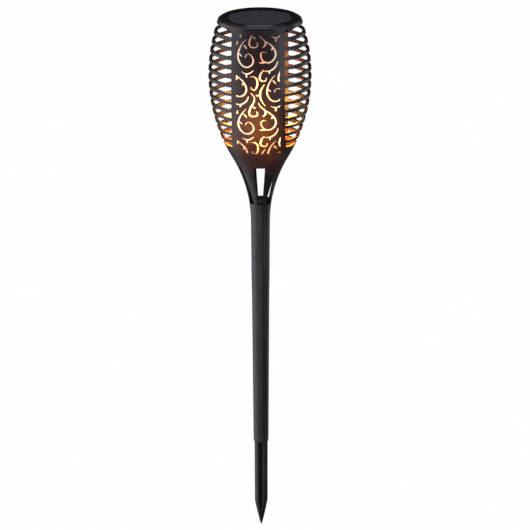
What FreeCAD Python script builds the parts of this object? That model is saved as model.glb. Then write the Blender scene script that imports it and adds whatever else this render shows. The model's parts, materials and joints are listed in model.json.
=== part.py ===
"""Solar flame torch light: spike, pole, shade and a lift-out light unit.

Millimetres. +Z is up, the front faces -Y, and the origin is the tip of the ground spike.
"""

import FreeCAD, Part
import math
import os
from types import SimpleNamespace

import Sketcher

Vector = FreeCAD.Vector
UP = Vector(0, 0, 1)
NOWHERE = Vector(0, 0, 0)

# Driving dimensions: alias, value in mm, degrees or pieces, and what it is.
SIZES = (
    ("FitGap", 0.08, "radial gap of the push fits"),
    ("SlipGap", 0.2, "radial gap of the loose fits inside the light unit"),
    ("SpikeTipRadius", 0.8, "radius of the blunt tip"),
    ("SpikePointLength", 28, "length of the tapered point"),
    ("SpikeLowRadius", 7.9, "reach of the fins above the point"),
    ("SpikeTopRadius", 8.2, "reach of the fins under the collar"),
    ("SpikeFinThickness", 5, "thickness of each fin"),
    ("SpikeFinLength", 96, "tip to the underside of the collar"),
    ("CollarThickness", 2.3, "collar that the pole stands on"),
    ("CollarRadius", 7.85, "radius of the collar"),
    ("SpikePlugRadius", 6.6, "plug that goes up into the pole"),
    ("SpikePlugLength", 35, "length of that plug"),
    ("PlugChamfer", 1, "lead-in chamfer of both plugs"),
    ("PoleLength", 214.7, "pole between the collar and the seam"),
    ("PoleFootRadius", 8.45, "outer radius of the pole's foot"),
    ("PoleWaistRadius", 9.75, "outer radius where the flare begins"),
    ("PoleHeadRadius", 10.3, "outer radius of the pole's head"),
    ("PoleFlareLength", 30, "length of the flare under the head"),
    ("PoleHeadLength", 17, "straight length of the pole's head"),
    ("PoleChamfer", 0.7, "chamfer round the top of the pole"),
    ("PoleWall", 1.75, "wall of the pole"),
    ("PolePlugRadius", 8.6, "plug that goes up into the shade"),
    ("PolePlugLength", 40, "length of that plug"),
    ("PlugWall", 1.7, "wall of that plug"),
    ("MarkWidth", 4, "width of an alignment mark"),
    ("MarkHeight", 1.2, "height of an alignment mark"),
    ("MarkRelief", 0.35, "how far a mark stands out"),
    ("MarkPitch", 3, "spacing of the marks"),
    ("MarkCount", 4, "number of marks"),
    ("MarkDrop", 8, "seam to the middle of the top mark"),
    ("ShadeWall", 3, "wall of the shade"),
    ("NeckFootRadius", 10.35, "outer radius of the shade's lower end"),
    ("NeckRadius", 10.7, "outer radius of the neck where it begins to flare"),
    ("NeckHeight", 39, "seam to the start of the flare"),
    ("SocketSpare", 1.5, "space left above the pole's plug"),
    ("BossHeight", 67, "seam to the floor of the shade"),
    ("BossRadius", 9, "core of the neck behind the slots"),
    ("BellyRadius", 58, "largest outer radius of the shade"),
    ("BellyHeight", 210, "seam to the largest radius"),
    ("UpperArc", 195, "bend radius of the side above the belly"),
    ("LowerArc", 184, "bend radius of the side below the belly"),
    ("RimHeight", 275.5, "seam to the top of the rim"),
    ("RimRounding", 2.4, "rounding of the rim's shoulder"),
    ("MouthRadius", 44.5, "mouth of the rim"),
    ("ShelfDepth", 3.1, "top of the rim down to the bayonet shelf"),
    ("ShelfThickness", 1.8, "thickness of the bayonet shelf"),
    ("ShelfRadius", 40, "inner radius of the bayonet shelf"),
    ("StopWidth", 2, "width of each stop rib under the shelf"),
    ("StopInset", 0.4, "edge of the shelf to the inner end of a stop rib"),
    ("StopDepth", 2, "height of each stop rib"),
    ("StopAngle", 36, "lug gap to stop rib, in degrees"),
    ("StrapHalfWidth", 30.1, "half the width of the front and back straps"),
    ("WindowFoot", 132.7, "seam to the foot of the side windows"),
    ("TopSlatHeight", 260.2, "seam to the middle of the top slat"),
    ("SlatPitch", 10.6, "spacing of the two highest slats"),
    ("SlatPitchFall", 0.11, "how much less each spacing is than the one above it"),
    ("SlatHeight", 3.4, "height of a slat"),
    ("SlatCount", 13, "number of slats"),
    ("SlotFoot", 61.5, "seam to the foot of the funnel slots"),
    ("SlotHead", 107.5, "seam to the head of the funnel slots"),
    ("FrontSlotFoot", 2.6, "half width of the front and back slots at the foot"),
    ("FrontSlotHead", 6.4, "half width of the front and back slots at the head"),
    ("SideSlotFoot", 3.3, "half width of the side slots at the foot"),
    ("SideSlotHead", 2.4, "half width of the side slots at the head"),
    ("SideSlotLean", 3, "sideways lean of the side slots"),
    ("SideSlotAngle", 54, "front to the side slots, in degrees"),
    ("EmblemWidth", 11, "width of the plain oval on the neck"),
    ("EmblemLength", 13.5, "height of the plain oval"),
    ("EmblemRelief", 0.6, "how far the oval stands out"),
    ("EmblemHeight", 47, "seam to the middle of the oval"),
    ("ScrollHalfWidth", 24.6, "half the width of the scroll field"),
    ("ScrollFoot", 127, "seam to the foot of the scroll field"),
    ("ScrollHead", 267, "seam to the head of the scroll field"),
    ("ScrollDatum", 247, "seam to the datum of the scroll pattern"),
    ("ScrollPitchX", 65.4, "sideways repeat of the scrolls"),
    ("ScrollPitchZ", 79, "upward repeat of the scrolls"),
    ("ScrollStroke", 2.1, "widest width of a scroll stroke"),
    ("ScrollTip", 0.9, "width at the tip of a stroke"),
    ("ScrollLeastArea", 2, "smallest area of a hole, in square mm; no smaller one is cut"),
    ("GasketSection", 1.2, "thickness of the O-ring"),
    ("GasketRadius", 43.2, "middle radius of the O-ring"),
    ("GasketGap", 0.1, "gap above and below the relaxed O-ring"),
    ("CapGap", 0.4, "radial gap between the cap and the mouth"),
    ("CapEdge", 2.3, "height of the cap's outer edge"),
    ("CapCrest", 3.2, "height of the cap's crest"),
    ("CrestOuterRadius", 43.2, "outer radius of the crest"),
    ("CrestInnerRadius", 41.6, "inner radius of the crest"),
    ("BevelHeight", 2, "height of the foot of the cap's inner bevel"),
    ("PanelSeatRadius", 36.9, "recess for the solar panel"),
    ("CapPlate", 2.2, "plate below the panel"),
    ("WireHoleRadius", 3.5, "hole in the plate for the panel leads"),
    ("SkirtRadius", 39.5, "outer radius of the cap's skirt"),
    ("SkirtWall", 2, "wall of the skirt"),
    ("SkirtDepth", 8.8, "depth of the skirt"),
    ("LugWidth", 12, "width of a bayonet lug"),
    ("LugReach", 41.2, "reach of a bayonet lug"),
    ("LugThickness", 2, "thickness of a bayonet lug"),
    ("LugGap", 0.3, "gap between a lug and the shelf above it"),
    ("NotchGap", 1, "gap beside a lug in its notch"),
    ("NotchReachGap", 0.5, "gap at the end of a lug in its notch"),
    ("PanelGap", 0.3, "radial gap round the solar panel"),
    ("PanelThickness", 1.2, "solar panel board"),
    ("CellRadius", 34.8, "radius of the field of cells"),
    ("CellThickness", 0.4, "thickness of the cells"),
    ("CellGap", 0.9, "gap between the two cells"),
    ("RibbonThickness", 0.15, "thickness of the silver ribbons"),
    ("RibbonWidth", 1.4, "width of a ribbon"),
    ("RibbonLength", 16, "length of a ribbon"),
    ("RibbonOffset", 26.5, "middle of the panel to the ribbons"),
    ("RibbonSplit", 7, "gap between the ribbons of a pair"),
    ("PanelTurn", 5, "turn of the panel in its seat, in degrees"),
    ("DiffuserRadius", 27, "outer radius of the light diffuser"),
    ("DiffuserWall", 1.2, "wall of the diffuser"),
    ("DiffuserLength", 147.6, "length of the diffuser"),
    ("CoreRadius", 17, "outer radius of the core tube"),
    ("CoreWall", 1.5, "wall of the core tube"),
    ("CoreLength", 131.2, "length of the core tube with its flanges"),
    ("CoreFlange", 2, "thickness of the core's flanges"),
    ("BossDepth", 6.6, "depth of the screw bosses under the plate"),
    ("BossReach", 21.5, "axis of the light unit to the screws"),
    ("BossOuter", 2.6, "radius of a screw boss"),
    ("ScrewRadius", 1.2, "radius of a screw's shank"),
    ("ScrewHeadRadius", 2.2, "radius of a screw's head"),
    ("ScrewHeadHeight", 1.5, "height of a screw's head"),
    ("ScrewLength", 7, "length of a core screw's shank"),
    ("EndScrewLength", 14.4, "length of an end screw's shank"),
    ("ScrewGap", 0.05, "radial gap round a screw"),
    ("DriveWidth", 0.7, "width of the cross recess"),
    ("DriveLength", 2.6, "length of the cross recess"),
    ("DriveDepth", 0.8, "depth of the cross recess"),
    ("ScrewCount", 3, "screws in each ring"),
    ("FlexThickness", 0.3, "LED flex board"),
    ("FlexStart", 5, "core flange to the top of the flex board"),
    ("FlexLength", 116, "length of the flex board"),
    ("LedColumns", 12, "LEDs round the core"),
    ("LedRows", 8, "LEDs along the core"),
    ("LedPitch", 14.5, "spacing of the rows"),
    ("LedStart", 7, "top of the flex board to the first row"),
    ("LedWidth", 3.5, "width of an LED"),
    ("LedHeight", 2.8, "height of an LED"),
    ("LedDepth", 1.2, "depth of an LED"),
    ("EndDisc", 3, "thickness of the end cap"),
    ("EndDiscRadius", 27.4, "radius of the end cap"),
    ("SpigotHeight", 14, "spigot of the end cap inside the core"),
    ("SpigotWall", 1.6, "wall of the spigot"),
    ("SwitchRadius", 7, "radius of the switch body"),
    ("SwitchHeight", 10, "height of the switch body"),
    ("BezelRadius", 8.5, "radius of the switch bezel"),
    ("BezelHeight", 2, "height of the switch bezel"),
    ("ButtonRadius", 4.5, "radius of the button"),
    ("ButtonLength", 8, "length of the button"),
    ("ButtonStand", 2.2, "how far the button stands out of its bezel"),
    ("ButtonTravel", 1.8, "travel of the button"),
    ("BatteryRadius", 9.2, "radius of the battery cell"),
    ("BatteryLength", 65, "length of the battery cell"),
    ("BatteryCap", 1.2, "height of the cell's positive cap"),
    ("BatteryCapRadius", 3.5, "radius of the cell's positive cap"),
    ("HolderDrop", 20, "control board to the battery holder"),
    ("HolderDisc", 1.6, "thickness of the holder's end discs"),
    ("HolderWall", 1.6, "wall of the holder's trough"),
    ("ContactThickness", 0.6, "thickness of a battery contact"),
    ("ContactRadius", 5, "radius of a battery contact"),
    ("BoardRadius", 17.5, "radius of the control board"),
    ("BoardThickness", 1.6, "thickness of the control board"),
    ("WireRadius", 0.6, "radius of a lead"),
    ("WireSpread", 2.4, "spacing of a pair of leads"),
    ("WireLane", 13, "axis to the leads that run down the core"),
    ("NotchWidth", 6, "width of the notches for those leads"),
)

# Levels, as expressions of those sizes. The spike's are from the tip of the spike.
POLE_FOOT = "(Sizes.SpikeFinLength + Sizes.CollarThickness)"
SEAM = f"({POLE_FOOT} + Sizes.PoleLength)"
SHELF_TOP = f"({SEAM} + Sizes.RimHeight - Sizes.ShelfDepth)"
MODULE = f"({SHELF_TOP} + Sizes.GasketSection + 2 * Sizes.GasketGap)"
# Levels of the light unit, down from the underside of the cap's flange.
PLATE_UNDER = "(-Sizes.CapPlate)"
CORE_TOP = f"({PLATE_UNDER} - Sizes.BossDepth)"
CORE_FOOT = f"({CORE_TOP} - Sizes.CoreLength)"
FLEX_TOP = f"({CORE_TOP} - Sizes.CoreFlange - Sizes.FlexStart)"
DIFFUSER_FOOT = f"({PLATE_UNDER} - Sizes.DiffuserLength)"
END_UNDER = f"({DIFFUSER_FOOT} - Sizes.EndDisc)"
BOARD_TOP = f"({CORE_TOP} + Sizes.BoardThickness)"
HOLDER_TOP = f"({CORE_TOP} - Sizes.HolderDrop)"
CELL_TOP = f"({HOLDER_TOP} - Sizes.HolderDisc - Sizes.ContactThickness)"
CELL_FOOT = f"({CELL_TOP} - Sizes.BatteryLength)"
HOLDER_FOOT = f"({CELL_FOOT} - Sizes.ContactThickness - Sizes.HolderDisc)"
BEZEL_UNDER = f"({END_UNDER} - Sizes.BezelHeight)"
SWITCH_TOP = f"({END_UNDER} + Sizes.SwitchHeight)"
# Radii that two pieces share.
CAP_RADIUS = "(Sizes.MouthRadius - Sizes.CapGap)"
CORE_BORE = "(Sizes.CoreRadius - Sizes.CoreWall)"
DIFFUSER_BORE = "(Sizes.DiffuserRadius - Sizes.DiffuserWall)"
SPIKE_BORE = "(Sizes.SpikePlugRadius + Sizes.FitGap)"
PLUG_BORE = "(Sizes.PolePlugRadius - Sizes.PlugWall)"
SHADE_BORE = "(Sizes.PolePlugRadius + Sizes.FitGap)"
BUTTON_BORE = "(Sizes.ButtonRadius + Sizes.SlipGap)"
SCREW_HOLE = "(Sizes.ScrewRadius + Sizes.ScrewGap)"
FLANGE_RADIUS = f"({DIFFUSER_BORE} - Sizes.SlipGap)"

# Centre lines of the scroll strokes, in mm from the scroll datum: right, then up.
SCROLLS = (
    ((-13, 15), (-20.5, 5), (-21.5, -8.5), (-13, -15.5), (-5, -8), (-10.5, -0.5), (-14, -5.5)),
    ((-16, 9.5), (-12.5, 4.5)),
    ((-21.5, -0.5), (-18, -4)),
    ((-8, 34.5), (-4.5, 24), (-9.5, 13.5), (-8.5, 7.5), (-1, 8), (-2.5, 13)),
    ((-5.5, 18.5), (-3, 16)),
    ((0.5, 23), (7, 14.5), (17, 6.5), (19.5, -3.5), (13, -10), (5, -7), (4, 1), (9.5, 0.5)),
    ((9, -10), (1.5, -10)),
    ((6.5, 15), (8.5, 11.5), (5.5, 6.5)),
    ((17.5, 7.5), (15, 3)),
    ((-18.5, -20.5), (-13, -23), (-5, -18.5)),
    ((-13, -23), (-12.5, -27.5)),
    ((22, -9), (20, -14.5), (15.5, -18.5), (5, -18)),
    ((7, -19), (2.5, -25), (3.5, -30), (8.5, -30.5), (9, -26.5)),
    ((13.5, -20), (12.5, -23)),
    ((-9, -26.5), (-0.5, -32.5), (-4, -41), (-7.5, -37.5)),
    ((7.5, -34.5), (2.5, -46), (8.5, -60)),
    ((2.5, -47), (-2.5, -47.5)),
)


def make_sheet(doc):
    """The driving dimensions as a spreadsheet."""
    sheet = doc.addObject("Spreadsheet::Sheet", "Sizes")
    for row, (alias, value, meaning) in enumerate(SIZES, start=1):
        sheet.set(f"A{row}", meaning)
        sheet.set(f"B{row}", str(value))
        sheet.setAlias(f"B{row}", alias)
    doc.recompute()
    return sheet


def level(doc, expression):
    """The number that an expression of the sizes gives."""
    return float(doc.getObject("Sizes").evalExpression(expression))


def read_sizes(doc):
    """The sheet's numbers, for shapes that code makes."""
    sheet = doc.getObject("Sizes")
    return SimpleNamespace(**{alias: float(sheet.get(alias)) for alias, _, _ in SIZES})


# Parametric bodies


def origin_feature(body, role):
    return next(f for f in body.Origin.OriginFeatures if f.Role == role)


def new_body(doc, label, base=None):
    """A body with its own frame at the level base, on the object's axis."""
    body = doc.addObject("PartDesign::Body", label)
    body.Label = label
    if base:
        body.setExpression("Placement.Base.z", base)
    return body


def place_sketch(body, name, plane, offset=None):
    """An empty sketch on one of the body's own planes, moved along its normal."""
    sketch = body.newObject("Sketcher::SketchObject", name)
    sketch.AttachmentSupport = [(origin_feature(body, plane), "")]
    sketch.MapMode = "FlatFace"
    if offset:
        sketch.setExpression("AttachmentOffset.Base.z", offset)
    return sketch


def bind(sketch, kind, geometry, name, expression):
    """Ties one coordinate of a point, or a radius, to an expression of the sizes."""
    value = level(sketch.Document, expression)
    if kind == "Radius":
        constraint = Sketcher.Constraint(kind, geometry, value)
    else:
        start = 3 if sketch.Geometry[geometry].TypeId == "Part::GeomCircle" else 1
        constraint = Sketcher.Constraint(kind, -1, 1, geometry, start, value)
    index = sketch.addConstraint(constraint)
    sketch.renameConstraint(index, name)
    sketch.setExpression(f"Constraints.{name}", expression)


def draw_outline(sketch, outline, first=0):
    """A closed outline of straight lines through (across, up) expressions."""
    points = [Vector(level(sketch.Document, x), level(sketch.Document, y), 0) for x, y in outline]
    count = len(points)
    for index in range(count):
        line = Part.LineSegment(points[index], points[(index + 1) % count])
        sketch.addGeometry(line, False)
    for index in range(count):
        after = first + (index + 1) % count
        sketch.addConstraint(Sketcher.Constraint("Coincident", first + index, 2, after, 1))
    for index, (x, y) in enumerate(outline):
        corner = first + index
        if x == "0":
            sketch.addConstraint(Sketcher.Constraint("PointOnObject", corner, 1, -2))
        else:
            bind(sketch, "DistanceX", corner, f"across_{corner}", x)
        if y == "0":
            sketch.addConstraint(Sketcher.Constraint("PointOnObject", corner, 1, -1))
        else:
            bind(sketch, "DistanceY", corner, f"up_{corner}", y)


def draw_circle(sketch, across, up, radius):
    """A circle with its centre and radius given as expressions."""
    doc = sketch.Document
    centre = Vector(level(doc, across), level(doc, up), 0)
    index = sketch.addGeometry(Part.Circle(centre, UP, level(doc, radius)), False)
    if across == "0":
        sketch.addConstraint(Sketcher.Constraint("PointOnObject", index, 3, -2))
    else:
        bind(sketch, "DistanceX", index, f"across_{index}", across)
    if up == "0":
        sketch.addConstraint(Sketcher.Constraint("PointOnObject", index, 3, -1))
    else:
        bind(sketch, "DistanceY", index, f"up_{index}", up)
    bind(sketch, "Radius", index, f"radius_{index}", radius)


def turn_outline(body, outline):
    """A turned piece: the outline is revolved round the body's own axis."""
    sketch = place_sketch(body, f"{body.Name}_profile", "XZ_Plane")
    draw_outline(sketch, outline)
    turned = body.newObject("PartDesign::Revolution", f"{body.Name}_turned")
    turned.Profile = sketch
    turned.ReferenceAxis = (sketch, ["V_Axis"])
    turned.Angle = 360
    body.Document.recompute()
    return turned


def raise_pad(body, sketch, length, name):
    """A pad along the sketch's normal."""
    pad = body.newObject("PartDesign::Pad", f"{body.Name}_{name}")
    pad.Profile = sketch
    pad.setExpression("Length", length)
    body.Document.recompute()
    return pad


def sink_pocket(body, sketch, length, name):
    """A pocket along the sketch's normal, checked to have cut something."""
    before = body.Shape.Volume
    pocket = body.newObject("PartDesign::Pocket", f"{body.Name}_{name}")
    pocket.Profile = sketch
    pocket.Reversed = True
    pocket.setExpression("Length", length)
    body.Document.recompute()
    if body.Shape.Volume >= before:
        raise RuntimeError(f"{pocket.Name} cut nothing")
    return pocket


def repeat_round(body, feature, count):
    """Repeats a feature evenly round the body's axis."""
    pattern = body.newObject("PartDesign::PolarPattern", f"{feature.Name}_ring")
    pattern.Originals = [feature]
    pattern.Axis = (origin_feature(body, "Z_Axis"), [""])
    pattern.Angle = 360
    pattern.setExpression("Occurrences", count)
    body.Tip = pattern
    body.Document.recompute()
    return pattern


# Stand


def make_ground_spike(doc):
    """Four fins with a point, a collar, and the plug that the pole slides over."""
    body = new_body(doc, "ground_spike")
    plug_top = f"({POLE_FOOT} + Sizes.SpikePlugLength)"
    turn_outline(
        body,
        (
            ("0", "0"),
            ("Sizes.SpikeTipRadius", "0"),
            ("Sizes.SpikeLowRadius", "Sizes.SpikePointLength"),
            ("Sizes.SpikeTopRadius", "Sizes.SpikeFinLength"),
            ("Sizes.CollarRadius", "Sizes.SpikeFinLength"),
            ("Sizes.CollarRadius", POLE_FOOT),
            ("Sizes.SpikePlugRadius", POLE_FOOT),
            ("Sizes.SpikePlugRadius", f"{plug_top} - Sizes.PlugChamfer"),
            ("Sizes.SpikePlugRadius - Sizes.PlugChamfer", plug_top),
            ("0", plug_top),
        ),
    )
    # Each groove is a right-angled notch between two fins, which stand at 45 degrees to the front.
    groove_root = "(Sizes.SpikeFinThickness / sqrt(2))"
    reach = "(2 * Sizes.SpikeTopRadius)"
    groove = place_sketch(body, "groove", "XY_Plane")
    draw_outline(
        groove,
        (
            ("0", f"-{groove_root}"),
            (reach, f"-({groove_root} + {reach})"),
            (f"-{reach}", f"-({groove_root} + {reach})"),
        ),
    )
    cut = sink_pocket(body, groove, "Sizes.SpikeFinLength", "groove_cut")
    repeat_round(body, cut, "4")
    return body


def make_pole_tube(doc):
    """Tapered tube: a bore for the spike's plug at the foot, a plug for the shade at the head."""
    body = new_body(doc, "pole_tube", POLE_FOOT)
    head_foot = "(Sizes.PoleLength - Sizes.PoleHeadLength)"
    flare_foot = f"({head_foot} - Sizes.PoleFlareLength)"
    plug_top = "(Sizes.PoleLength + Sizes.PolePlugLength)"
    socket_top = "(Sizes.SpikePlugLength + Sizes.SocketSpare)"
    throat = f"({PLUG_BORE} + Sizes.PoleHeadRadius - Sizes.PolePlugRadius)"
    turn_outline(
        body,
        (
            (SPIKE_BORE, "0"),
            ("Sizes.PoleFootRadius", "0"),
            ("Sizes.PoleWaistRadius", flare_foot),
            ("Sizes.PoleHeadRadius", head_foot),
            ("Sizes.PoleHeadRadius", "Sizes.PoleLength - Sizes.PoleChamfer"),
            ("Sizes.PoleHeadRadius - Sizes.PoleChamfer", "Sizes.PoleLength"),
            ("Sizes.PolePlugRadius", "Sizes.PoleLength"),
            ("Sizes.PolePlugRadius", f"{plug_top} - Sizes.PlugChamfer"),
            ("Sizes.PolePlugRadius - Sizes.PlugChamfer", plug_top),
            (PLUG_BORE, plug_top),
            (PLUG_BORE, "Sizes.PoleLength - Sizes.PoleWall"),
            (throat, f"{head_foot}"),
            ("Sizes.PoleWaistRadius - Sizes.PoleWall", flare_foot),
            (SPIKE_BORE, socket_top),
        ),
    )
    # The marks start inside the wall, so that they grow out of it.
    mark_base = "(Sizes.PoleHeadRadius - Sizes.PoleWall / 2)"
    right = "(Sizes.MarkWidth / 2)"
    top = "(Sizes.PoleLength - Sizes.MarkDrop + Sizes.MarkHeight / 2)"
    marks = place_sketch(body, "marks", "XZ_Plane", mark_base)
    corners = (
        (f"-{right}", f"{top} - Sizes.MarkHeight"),
        (right, f"{top} - Sizes.MarkHeight"),
        (right, top),
        (f"-{right}", top),
    )
    draw_outline(marks, corners)
    mark = raise_pad(body, marks, "Sizes.PoleWall / 2 + Sizes.MarkRelief", "mark")
    row = body.newObject("PartDesign::LinearPattern", "mark_row")
    row.Originals = [mark]
    row.Direction = (origin_feature(body, "Z_Axis"), [""])
    row.Reversed = True
    row.setExpression("Length", "Sizes.MarkPitch * (Sizes.MarkCount - 1)")
    row.setExpression("Occurrences", "Sizes.MarkCount")
    body.Tip = row
    doc.recompute()
    return body


# Shade


def bend(centre, radius, start, end):
    """An arc in the XZ plane between two angles, in radians from +X."""
    spots = []
    for angle in (start, (start + end) / 2, end):
        spots.append(centre + Vector(radius * math.cos(angle), 0, radius * math.sin(angle)))
    return Part.Arc(*spots).toShape()


def side_arcs(size, inset, foot, head):
    """The shade's side from the height foot to the height head, moved inwards by inset.

    Three tangent arcs: the neck's flare, the side below the belly and the side above it.
    """
    # The flare's radius follows from touching the neck's line and the lower arc.
    across = size.NeckRadius - size.BellyRadius + size.LowerArc
    rise = size.BellyHeight - size.NeckHeight
    flare = (across**2 + rise**2 - size.LowerArc**2) / (2 * (size.LowerArc - across))
    neck = Vector(size.NeckRadius + flare, 0, size.NeckHeight)
    lower = Vector(size.BellyRadius - size.LowerArc, 0, size.BellyHeight)
    upper = Vector(size.BellyRadius - size.UpperArc, 0, size.BellyHeight)
    meet = math.atan2(neck.z - lower.z, neck.x - lower.x)
    foot_angle = math.asin((foot - neck.z) / (flare + inset))
    head_angle = math.asin((head - upper.z) / (size.UpperArc - inset))
    return [
        bend(neck, flare + inset, math.pi - foot_angle, math.pi + meet),
        bend(lower, size.LowerArc - inset, meet, 0),
        bend(upper, size.UpperArc - inset, 0, head_angle),
    ]


def edge_ends(edge):
    return edge.valueAt(edge.FirstParameter), edge.valueAt(edge.LastParameter)


def turn_edges(edges, corners):
    """Revolves a chain of edges closed by straight lines through corners."""
    first = edge_ends(edges[0])[0]
    last = edge_ends(edges[-1])[1]
    closing = Part.makePolygon([last, *corners, first]).Edges
    face = Part.Face(Part.Wire(Part.__sortEdges__(edges + closing)))
    return face.revolve(NOWHERE, UP, 360)


def shade_shell(size, bore, rim_inset=0):
    """The moulding before it is pierced: neck, bowl, wall, rim and bayonet shelf."""
    shoulder = size.RimHeight - size.RimRounding
    outer = side_arcs(size, 0, size.NeckHeight, shoulder)
    edge = edge_ends(outer[-1])[1]
    turn = math.pi / 4
    crown_centre = Vector(edge.x - size.RimRounding, 0, shoulder)
    crown = bend(crown_centre, size.RimRounding, 0, 2 * turn)
    shelf_top = size.RimHeight - size.ShelfDepth
    shelf_under = shelf_top - size.ShelfThickness
    socket_top = size.PolePlugLength + size.SocketSpare
    outside = turn_edges(
        outer + [crown],
        [
            Vector(0, 0, size.RimHeight),
            Vector(0, 0, 0),
            Vector(size.NeckFootRadius, 0, 0),
        ],
    )
    inner = side_arcs(size, size.ShadeWall, size.BossHeight, shelf_under)
    hollow = turn_edges(inner, [Vector(0, 0, shelf_under), Vector(0, 0, size.BossHeight)])
    throat = Part.makeCylinder(size.ShelfRadius, size.RimHeight - shelf_under, Vector(0, 0, shelf_under))
    mouth = Part.makeCylinder(size.MouthRadius, size.ShelfDepth, Vector(0, 0, shelf_top))
    socket = Part.makeCylinder(bore, socket_top)
    return outside.cut([hollow, throat, mouth, socket])


def side_windows(size):
    """The gaps between the ring slats, on both sides of the straps."""
    reach = 2 * size.BellyRadius
    shelf_under = size.RimHeight - size.ShelfDepth - size.ShelfThickness
    floors = [size.WindowFoot]
    ceilings = []
    for index in reversed(range(int(size.SlatCount))):
        spacing = size.SlatPitch - size.SlatPitchFall * (index - 1) / 2
        middle = size.TopSlatHeight - index * spacing
        ceilings.append(middle - size.SlatHeight / 2)
        floors.append(middle + size.SlatHeight / 2)
    ceilings.append(shelf_under)
    gaps = []
    for floor, ceiling in zip(floors, ceilings):
        for left in (size.StrapHalfWidth, -size.StrapHalfWidth - reach):
            corner = Vector(left, -reach, floor)
            gaps.append(Part.makeBox(reach, 2 * reach, ceiling - floor, corner))
    return gaps


def funnel_slot(size, angle, foot_half, head_half, lean):
    """One tapered slot through the funnel, facing the angle, in degrees from the front."""
    outline = [
        Vector(-foot_half - lean / 2, 0, size.SlotFoot),
        Vector(foot_half - lean / 2, 0, size.SlotFoot),
        Vector(head_half + lean / 2, 0, size.SlotHead),
        Vector(-head_half + lean / 2, 0, size.SlotHead),
    ]
    face = Part.Face(Part.makePolygon(outline + outline[:1]))
    slot = face.extrude(Vector(0, -size.BellyRadius, 0))
    slot = slot.cut(Part.makeCylinder(size.BossRadius, size.BossHeight))
    slot.rotate(NOWHERE, UP, angle)
    return slot


def funnel_slots(size):
    """Six slots: front, back and two on each side, leaning away from the front and back."""
    slots = []
    for angle in (0, 180):
        slots.append(funnel_slot(size, angle, size.FrontSlotFoot, size.FrontSlotHead, 0))
    for angle in (size.SideSlotAngle, 180 + size.SideSlotAngle):
        slots.append(funnel_slot(size, angle, size.SideSlotFoot, size.SideSlotHead, size.SideSlotLean))
    for angle in (-size.SideSlotAngle, 180 - size.SideSlotAngle):
        slots.append(funnel_slot(size, angle, size.SideSlotFoot, size.SideSlotHead, -size.SideSlotLean))
    return slots


def scroll_stroke(size, points):
    """One stroke as a face in the XZ plane, widest in the middle and narrow at both tips."""
    centre = Part.BSplineCurve()
    centre.interpolate([Vector(x, 0, z) for x, z in points])
    first, last = centre.FirstParameter, centre.LastParameter
    steps = 3 * (len(points) - 1)
    left, right = [], []
    for step in range(steps + 1):
        share = step / steps
        spot = first + (last - first) * share
        along = centre.tangent(spot)[0]
        side = Vector(-along.z, 0, along.x)
        swell = math.sin(math.pi * share)
        half = (size.ScrollTip + (size.ScrollStroke - size.ScrollTip) * swell) / 2
        left.append(centre.value(spot) + side * half)
        right.append(centre.value(spot) - side * half)
    edges = []
    for line in (left, right):
        curve = Part.BSplineCurve()
        curve.interpolate(line)
        edges.append(curve.toShape())
    ends = [Part.makeLine(left[0], right[0]), Part.makeLine(left[-1], right[-1])]
    return Part.Face(Part.Wire(Part.__sortEdges__(edges + ends)))


def scroll_cutters(size):
    """The scroll pattern inside its field, as solids that run from front to back."""
    depth = 3 * size.BellyRadius
    bars = [scroll_stroke(size, points).extrude(Vector(0, depth, 0)) for points in SCROLLS]
    motif = bars[0].fuse(bars[1:]).removeSplitter()
    corner = Vector(-size.ScrollHalfWidth, -depth / 2, size.ScrollFoot)
    height = size.ScrollHead - size.ScrollFoot
    field = Part.makeBox(2 * size.ScrollHalfWidth, depth, height, corner)
    cutters = []
    for column in (-1, 0, 1):
        for row in (-1, 0, 1, 2):
            drop = (row - column % 2 / 2) * size.ScrollPitchZ
            across = column * size.ScrollPitchX / 2
            spot = Vector(across, -depth / 2, size.ScrollDatum - drop)
            for scroll in motif.Solids:
                kept = scroll.translated(spot).common(field).Solids
                cutters += [bar for bar in kept if bar.Volume > size.ScrollLeastArea * depth]
    return cutters


def bayonet_notches(size):
    """Notches in the shelf that let the cap's lugs through."""
    half = size.LugWidth / 2 + size.NotchGap
    inner = size.ShelfRadius / 2
    length = size.LugReach + size.NotchReachGap - inner
    floor = size.RimHeight - size.ShelfDepth - size.ShelfThickness
    notches = []
    for index in range(3):
        notch = Part.makeBox(2 * half, length, size.ShelfThickness, Vector(-half, inner, floor))
        notch.rotate(NOWHERE, UP, index * 120)
        notches.append(notch)
    return notches


def stop_ribs(size):
    """Ribs under the shelf that stop the lugs at the end of their turn."""
    top = size.RimHeight - size.ShelfDepth
    floor = top - size.ShelfThickness - size.StopDepth
    inner = size.ShelfRadius + size.StopInset
    length = size.MouthRadius - inner
    ribs = []
    for index in range(3):
        corner = Vector(-size.StopWidth / 2, inner, floor)
        rib = Part.makeBox(size.StopWidth, length, size.StopDepth + size.ShelfThickness / 2, corner)
        rib.rotate(NOWHERE, UP, index * 120 - size.StopAngle)
        ribs.append(rib)
    return ribs


def neck_emblem(size):
    """A plain oval that stands out of the front of the neck."""
    oval = Part.Ellipse(NOWHERE, size.EmblemLength / 2, size.EmblemWidth / 2).toShape()
    plate = Part.Face(Part.Wire(oval)).extrude(UP * size.BellyRadius)
    # The oval's long axis turns to +Z and its depth to -Y.
    plate.rotate(NOWHERE, Vector(0, 1, 0), -90)
    plate.rotate(NOWHERE, UP, 90)
    plate.translate(Vector(0, 0, size.EmblemHeight))
    edges = side_arcs(size, -size.EmblemRelief, size.NeckHeight, size.RimHeight)[:1]
    top = edge_ends(edges[0])[1].z
    core = turn_edges(edges, [Vector(0, 0, top), Vector(0, 0, size.NeckHeight)])
    inside = Part.makeCylinder(size.NeckRadius - size.ShadeWall / 2, size.BellyHeight)
    return plate.common(core).cut(inside)


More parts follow.
